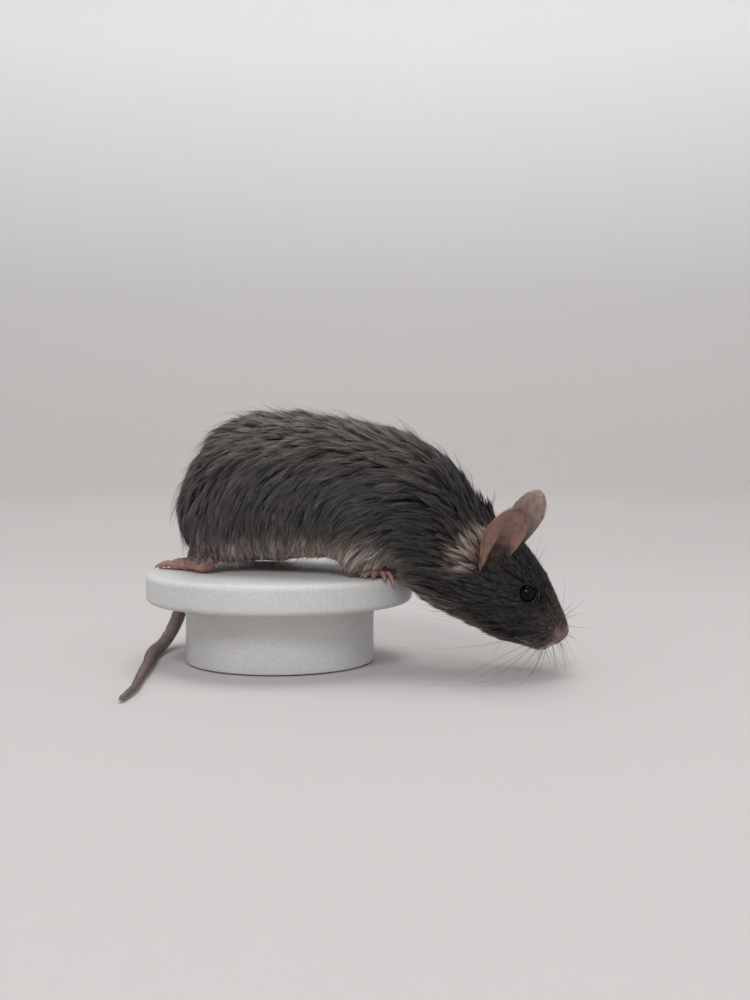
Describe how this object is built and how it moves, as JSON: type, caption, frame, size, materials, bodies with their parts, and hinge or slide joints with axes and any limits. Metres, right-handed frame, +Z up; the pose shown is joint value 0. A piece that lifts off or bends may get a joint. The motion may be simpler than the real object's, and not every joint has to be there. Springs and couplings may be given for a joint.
{
  "type": "house mouse",
  "caption": "Life-size dark grey house mouse standing on a plain round base, its head reaching down over the front edge and its tail dropping behind to the floor.",
  "frame": {"origin": "centre of the underside of the round base", "axes": "+X towards the nose along the trunk, +Y to the animal's left, +Z up"},
  "size_m": [0.0841, 0.0727, 0.0475],
  "materials": {
    "fur": "soft charcoal coat with browner tips",
    "nose_skin": "bare, slightly moist skin",
    "ear_skin": "thin bare skin with fine down",
    "eye": "glossy black",
    "paw_skin": "bare pink skin",
    "tail_skin": "fine rings of scales",
    "stand": "satin pale grey"
  },
  "bodies": {
    "root": {"rump": "fur", "loin": "fur", "thorax": "fur", "neck": "fur", "head": "fur", "lower_jaw": "fur", "shoulder_right": "fur", "shoulder_left": "fur", "thigh_right": "fur", "thigh_left": "fur", "nose": "nose_skin", "ear_right": "ear_skin", "ear_left": "ear_skin", "eye_right": "eye", "eye_left": "eye", "forepaw_right": "paw_skin", "forepaw_left": "paw_skin", "hind_foot_right": "paw_skin", "hind_foot_left": "paw_skin", "tail_1": "tail_skin", "tail_2": "tail_skin", "tail_3": "tail_skin", "tail_4": "tail_skin", "tail_5": "tail_skin", "stand_base": "stand"}
  },
  "joints": []
}
